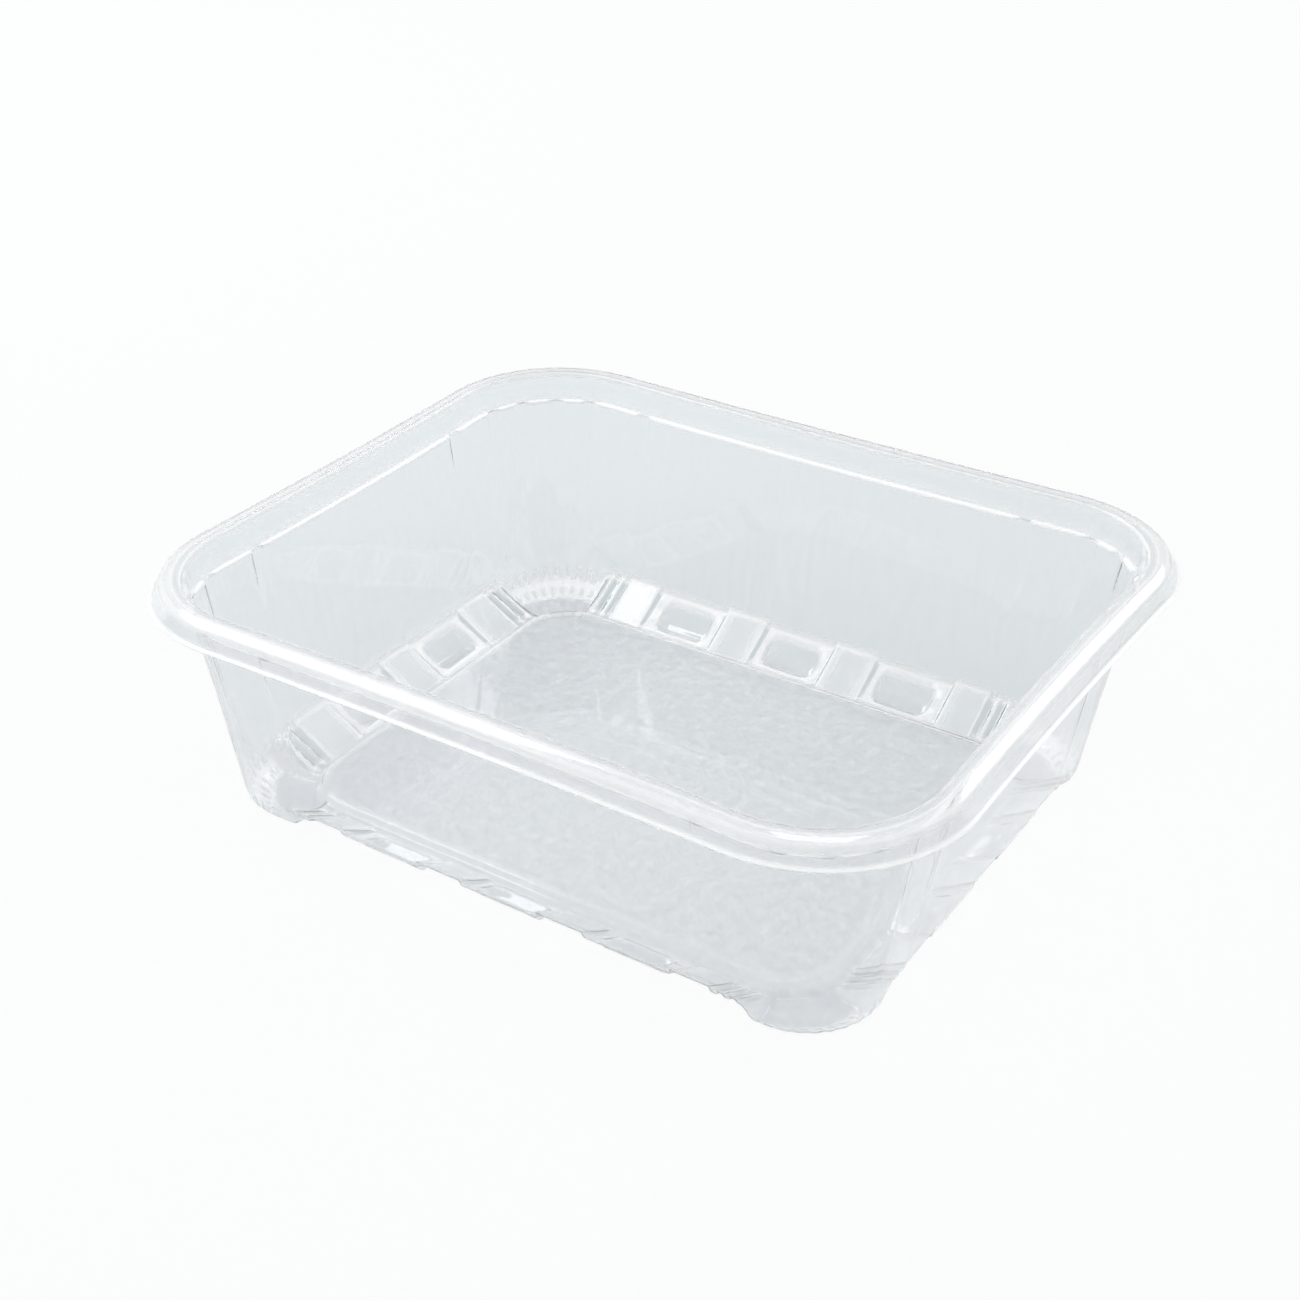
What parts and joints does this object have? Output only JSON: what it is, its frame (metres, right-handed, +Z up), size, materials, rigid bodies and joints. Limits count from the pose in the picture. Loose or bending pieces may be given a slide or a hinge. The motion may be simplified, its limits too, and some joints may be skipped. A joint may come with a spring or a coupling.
{
  "type": "berry basket",
  "caption": "Clear moulded berry punnet with a flat flange, tapered walls, a castellated heel and bulb feet under its corners.",
  "frame": {"origin": "on the ground under the middle of the tray", "axes": "+Z up out of the tray's mouth, +X along its longer side, +Y along its shorter side"},
  "size_m": [0.1926, 0.1616, 0.0597],
  "materials": {
    "clear_pet": "clear thermoformed PET sheet, glossy on both sides"
  },
  "bodies": {
    "root": {"punnet_shell": "clear_pet"}
  },
  "joints": []
}
